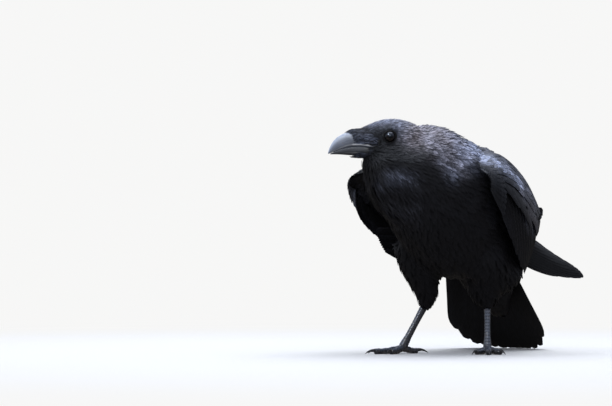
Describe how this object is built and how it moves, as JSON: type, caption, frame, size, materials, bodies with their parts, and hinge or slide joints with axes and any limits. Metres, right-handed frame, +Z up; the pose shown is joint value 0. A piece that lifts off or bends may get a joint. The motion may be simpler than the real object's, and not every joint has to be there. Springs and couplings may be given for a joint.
{
  "type": "raven",
  "caption": "Life-size black raven standing still on both feet, body leaning forward, head turned, wings loose, tail resting on the floor.",
  "frame": {"origin": "on the floor, below the middle of the bird's overall box", "axes": "+Z up, the body faces -Y and its left side is +X; the head is turned to the bird's right"},
  "size_m": [0.2498, 0.5146, 0.3255],
  "materials": {
    "plumage": "glossy black body feathers with a blue sheen",
    "flight_feathers": "smooth black quill feathers, slightly glossy",
    "bill": "satin slate-grey horn",
    "leg_skin": "scaly dark grey skin",
    "claws": "polished black horn",
    "eye": "wet, very dark brown"
  },
  "bodies": {
    "root": {"head": "plumage", "bill_upper": "bill", "bill_lower": "bill", "eye_left": "eye", "eye_right": "eye", "neck": "plumage", "trunk": "plumage", "tail": "flight_feathers", "tail_coverts": "plumage", "wing_left": "plumage", "wing_left_secondaries": "flight_feathers", "wing_left_primaries": "flight_feathers", "shank_left": "plumage", "tarsus_left": "leg_skin", "toe_left_1": "leg_skin", "toe_left_2": "leg_skin", "toe_left_3": "leg_skin", "toe_left_4": "leg_skin", "claw_left_1": "claws", "claw_left_2": "claws", "claw_left_3": "claws", "claw_left_4": "claws", "wing_right": "plumage", "wing_right_secondaries": "flight_feathers", "wing_right_primaries": "flight_feathers", "shank_right": "plumage", "tarsus_right": "leg_skin", "toe_right_1": "leg_skin", "toe_right_2": "leg_skin", "toe_right_3": "leg_skin", "toe_right_4": "leg_skin", "claw_right_1": "claws", "claw_right_2": "claws", "claw_right_3": "claws", "claw_right_4": "claws"}
  },
  "joints": []
}
